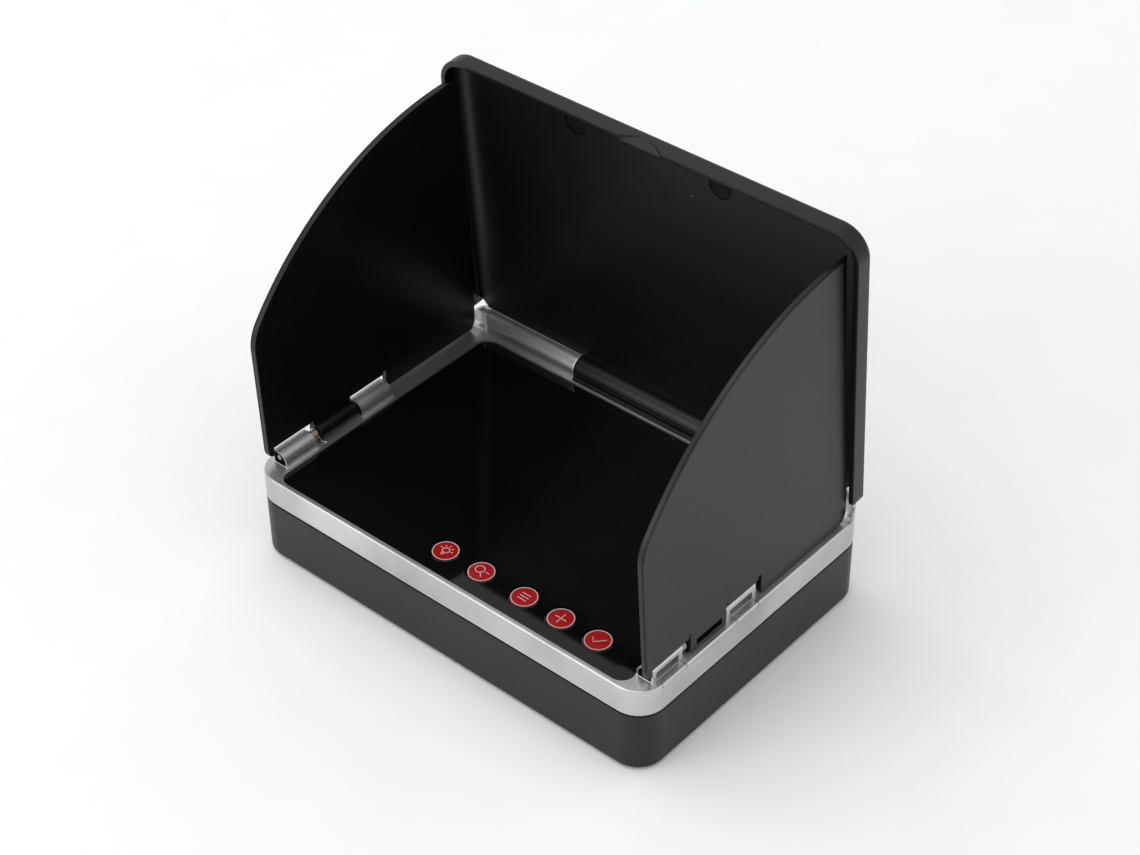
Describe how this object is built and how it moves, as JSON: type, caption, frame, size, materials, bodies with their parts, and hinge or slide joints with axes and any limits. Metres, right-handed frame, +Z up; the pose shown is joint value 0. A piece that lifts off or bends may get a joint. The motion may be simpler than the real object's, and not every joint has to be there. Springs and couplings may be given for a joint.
{
  "type": "video viewer",
  "caption": "Pocket video viewer: flat case with a glossy screen window, five push keys, two side panels that fold in and a rear lid that together form a light hood.",
  "frame": {"origin": "middle of the flat underside of the case", "axes": "+X along the front edge towards the last key, +Y to the rear where the lid is hinged, +Z up out of the window"},
  "size_m": [0.13, 0.0886, 0.1146],
  "materials": {
    "black_case": "fine moulded texture",
    "black_hood": "satin moulded black",
    "silver_bezel": "satin silver paint on plastic",
    "window_gloss": "polished black-backed sheet",
    "key_red": "printed red with a pale ring",
    "screen_glass": "dark polarised glass",
    "tray_steel": "bright sheet",
    "pin_steel": "plain wire and screw steel",
    "spring_copper": "bright copper-coloured wire",
    "socket_metal": "turned and plated",
    "seal_rubber": "matt",
    "jack_black": "matt",
    "board_green": "lacquered board",
    "cell_wrap": "grey foil pouch",
    "film_amber": "thin film"
  },
  "bodies": {
    "base": {"lower_case": "black_case", "case_seal": "seal_rubber", "bezel_frame": "silver_bezel", "display_window": "window_gloss", "window_tape": "seal_rubber", "screen_panel": "screen_glass", "light_tray": "tray_steel", "film_cable": "film_amber", "key_board": "board_green", "main_board": "board_green", "battery_pad": "seal_rubber", "battery_pack": "cell_wrap", "camera_socket": "socket_metal", "socket_nut": "socket_metal", "charge_jack": "jack_black", "key_switch_1": "jack_black", "key_switch_2": "jack_black", "key_switch_3": "jack_black", "key_switch_4": "jack_black", "key_switch_5": "jack_black", "case_screw_1": "pin_steel", "case_screw_2": "pin_steel", "case_screw_3": "pin_steel", "case_screw_4": "pin_steel", "board_screw_1": "pin_steel", "board_screw_2": "pin_steel", "board_screw_3": "pin_steel", "board_screw_4": "pin_steel", "left_wing_pin": "pin_steel", "right_wing_pin": "pin_steel", "left_wing_spring": "spring_copper", "right_wing_spring": "spring_copper", "lid_pin_left": "pin_steel", "lid_pin_right": "pin_steel"},
    "left_wing": {"left_wing": "black_hood"},
    "right_wing": {"right_wing": "black_hood"},
    "lid": {"hood_lid": "black_hood"},
    "key_light": {"key_light": "key_red"},
    "key_zoom_out": {"key_zoom_out": "key_red"},
    "key_menu": {"key_menu": "key_red"},
    "key_plus": {"key_plus": "key_red"},
    "key_confirm": {"key_confirm": "key_red"}
  },
  "joints": [
    {"name": "left_wing_fold", "type": "hinge", "parent": "base", "child": "left_wing", "pos_m": [-0.0609, 0, 0.0279], "axis": [0, 1, 0], "range_deg": [0, 89], "stiffness_Nm_per_rad": 0.003, "springref_deg": -57.3},
    {"name": "right_wing_fold", "type": "hinge", "parent": "base", "child": "right_wing", "pos_m": [0.0609, 0, 0.0279], "axis": [0, -1, 0], "range_deg": [0, 86], "stiffness_Nm_per_rad": 0.003, "springref_deg": -57.3},
    {"name": "lid_lean", "type": "hinge", "parent": "base", "child": "lid", "pos_m": [0, 0.0409, 0.0282], "axis": [1, 0, 0], "range_deg": [-15, 0]},
    {"name": "key_light_press", "type": "slide", "parent": "base", "child": "key_light", "axis": [0, 0, -1], "range_m": [0, 0.0003], "stiffness_N_per_m": 4000, "springref_m": -0.0001},
    {"name": "key_zoom_out_press", "type": "slide", "parent": "base", "child": "key_zoom_out", "axis": [0, 0, -1], "range_m": [0, 0.0003], "stiffness_N_per_m": 4000, "springref_m": -0.0001},
    {"name": "key_menu_press", "type": "slide", "parent": "base", "child": "key_menu", "axis": [0, 0, -1], "range_m": [0, 0.0003], "stiffness_N_per_m": 4000, "springref_m": -0.0001},
    {"name": "key_plus_press", "type": "slide", "parent": "base", "child": "key_plus", "axis": [0, 0, -1], "range_m": [0, 0.0003], "stiffness_N_per_m": 4000, "springref_m": -0.0001},
    {"name": "key_confirm_press", "type": "slide", "parent": "base", "child": "key_confirm", "axis": [0, 0, -1], "range_m": [0, 0.0003], "stiffness_N_per_m": 4000, "springref_m": -0.0001}
  ]
}
